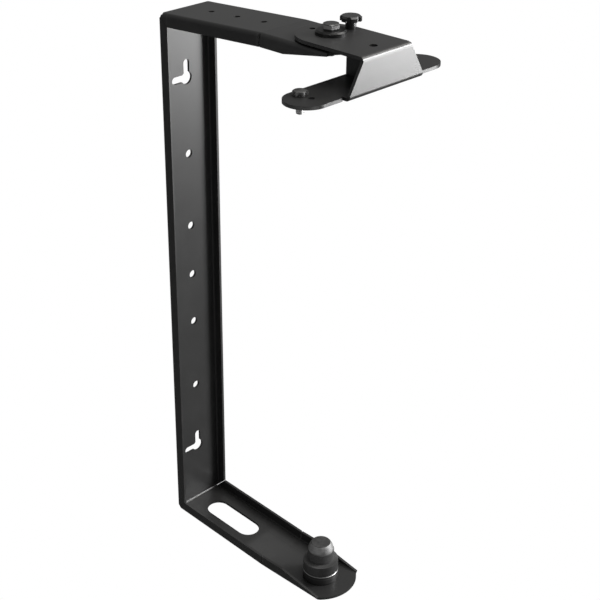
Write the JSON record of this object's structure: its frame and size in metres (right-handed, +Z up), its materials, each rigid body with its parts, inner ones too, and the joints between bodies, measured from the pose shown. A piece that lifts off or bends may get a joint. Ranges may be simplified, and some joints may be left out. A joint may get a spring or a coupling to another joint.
{
  "type": "speaker wall bracket",
  "caption": "Wall bracket for a loudspeaker: a deep C of folded sheet steel with a stub for the cabinet's socket below and a swivelling plate that bolts to its top.",
  "frame": {"origin": "on the rear face of the back plate, on its centreline and at mid-height, at the middle wall hole", "axes": "+X along the wall, +Y into the wall, +Z up; the arms reach toward -Y"},
  "size_m": [0.1756, 0.244, 0.5789],
  "materials": {
    "frame_coat": "black powder coat, satin",
    "friction_plastic": "black nylon",
    "glide_plastic": "black nylon",
    "washer_steel": "black, satin",
    "bolt_steel": "black zinc",
    "plain_washer_steel": "black zinc",
    "nut_steel": "black zinc",
    "nut_nylon": "nylon",
    "spigot_base_coat": "black powder coat, satin",
    "spigot_collar_coat": "black powder coat, satin",
    "spigot_nose_steel": "turned, bright",
    "spring_washer_steel": "black zinc",
    "spigot_bolt_steel": "black zinc",
    "swivel_coat": "black powder coat, satin",
    "rib_coat": "black powder coat, satin",
    "speaker_bolt_steel": "black zinc",
    "knob_plastic": "black, moulded",
    "stud_steel": "zinc"
  },
  "bodies": {
    "frame": {"frame_channel": "frame_coat", "friction_washer": "friction_plastic", "pivot_glide_washer": "glide_plastic", "pivot_washer_top": "washer_steel", "pivot_bolt": "bolt_steel", "pivot_washer_bottom": "plain_washer_steel", "pivot_lock_nut": "nut_steel", "pivot_nut_ring": "nut_nylon", "spigot_base_ring": "spigot_base_coat", "spigot_collar": "spigot_collar_coat", "spigot_nose": "spigot_nose_steel", "spigot_spring_washer": "spring_washer_steel", "spigot_bolt": "spigot_bolt_steel"},
    "swivel": {"swivel_bracket": "swivel_coat", "swivel_rib": "rib_coat", "speaker_bolt": "speaker_bolt_steel"},
    "thumb_screw": {"thumb_knob": "knob_plastic", "thumb_screw_stud": "stud_steel"}
  },
  "joints": [
    {"name": "swivel_turn", "type": "hinge", "parent": "frame", "child": "swivel", "pos_m": [0, -0.182, 0.281], "axis": [0, 0, 1], "range_deg": [-60, 60]},
    {"name": "thumb_screw_turn", "type": "hinge", "parent": "swivel", "child": "thumb_screw", "pos_m": [0.0235, -0.1825, 0.281], "axis": [0, 0, 1], "range_deg": [0, 360]}
  ]
}
